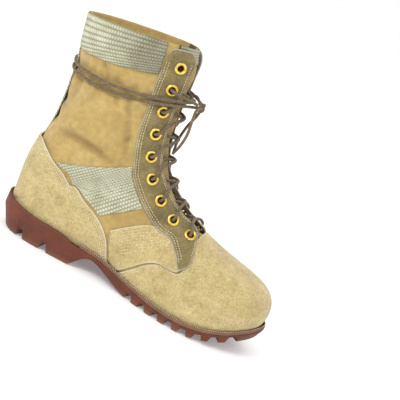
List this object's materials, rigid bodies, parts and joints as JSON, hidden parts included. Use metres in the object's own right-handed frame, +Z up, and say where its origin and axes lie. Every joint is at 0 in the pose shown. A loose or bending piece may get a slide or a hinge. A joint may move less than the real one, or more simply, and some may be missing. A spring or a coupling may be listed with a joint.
{
  "type": "combat boot",
  "caption": "High laced combat boot for the left foot: suede foot, canvas shaft, woven bands, brass eyelets and a lugged rubber sole.",
  "frame": {"origin": "middle of the heel's flat, on the floor", "axes": "+X towards the toe, +Y towards the outer side of the left foot, +Z up"},
  "size_m": [0.3074, 0.1104, 0.2548],
  "materials": {
    "rubber": "matt brick-red moulded rubber, dusty",
    "welt_rubber": "ribbed brick-red rubber strip",
    "lining": "plain woven footbed cover",
    "canvas": "golden tan cotton duck",
    "tongue_canvas": "golden tan cotton duck",
    "suede": "sandy rough-out suede",
    "webbing": "coarse khaki and cream webbing",
    "brass": "yellow lacquered brass",
    "lace": "round brown braided lace"
  },
  "bodies": {
    "root": {"outsole": "rubber", "welt": "welt_rubber", "insole": "lining", "upper": "canvas", "tongue": "tongue_canvas", "counter": "suede", "vamp": "suede", "side_panel_inner": "suede", "side_panel_outer": "suede", "eyestay_inner": "suede", "eyestay_outer": "suede", "collar_band": "webbing", "back_strip": "webbing", "ankle_strap_inner": "webbing", "ankle_strap_outer": "webbing", "lace_wrap": "lace", "eyelet_inner_1": "brass", "eyelet_inner_2": "brass", "eyelet_inner_3": "brass", "eyelet_inner_4": "brass", "eyelet_inner_5": "brass", "eyelet_inner_6": "brass", "eyelet_inner_7": "brass", "eyelet_inner_8": "brass", "eyelet_inner_9": "brass", "eyelet_outer_1": "brass", "eyelet_outer_2": "brass", "eyelet_outer_3": "brass", "eyelet_outer_4": "brass", "eyelet_outer_5": "brass", "eyelet_outer_6": "brass", "eyelet_outer_7": "brass", "eyelet_outer_8": "brass", "eyelet_outer_9": "brass", "lace_bar": "lace", "lace_crossing_1": "lace", "lace_crossing_2": "lace", "lace_crossing_3": "lace", "lace_crossing_4": "lace", "lace_crossing_5": "lace", "lace_crossing_6": "lace", "lace_crossing_7": "lace", "lace_crossing_8": "lace", "lace_knot": "lace", "lace_end_1": "lace", "lace_end_2": "lace"}
  },
  "joints": []
}
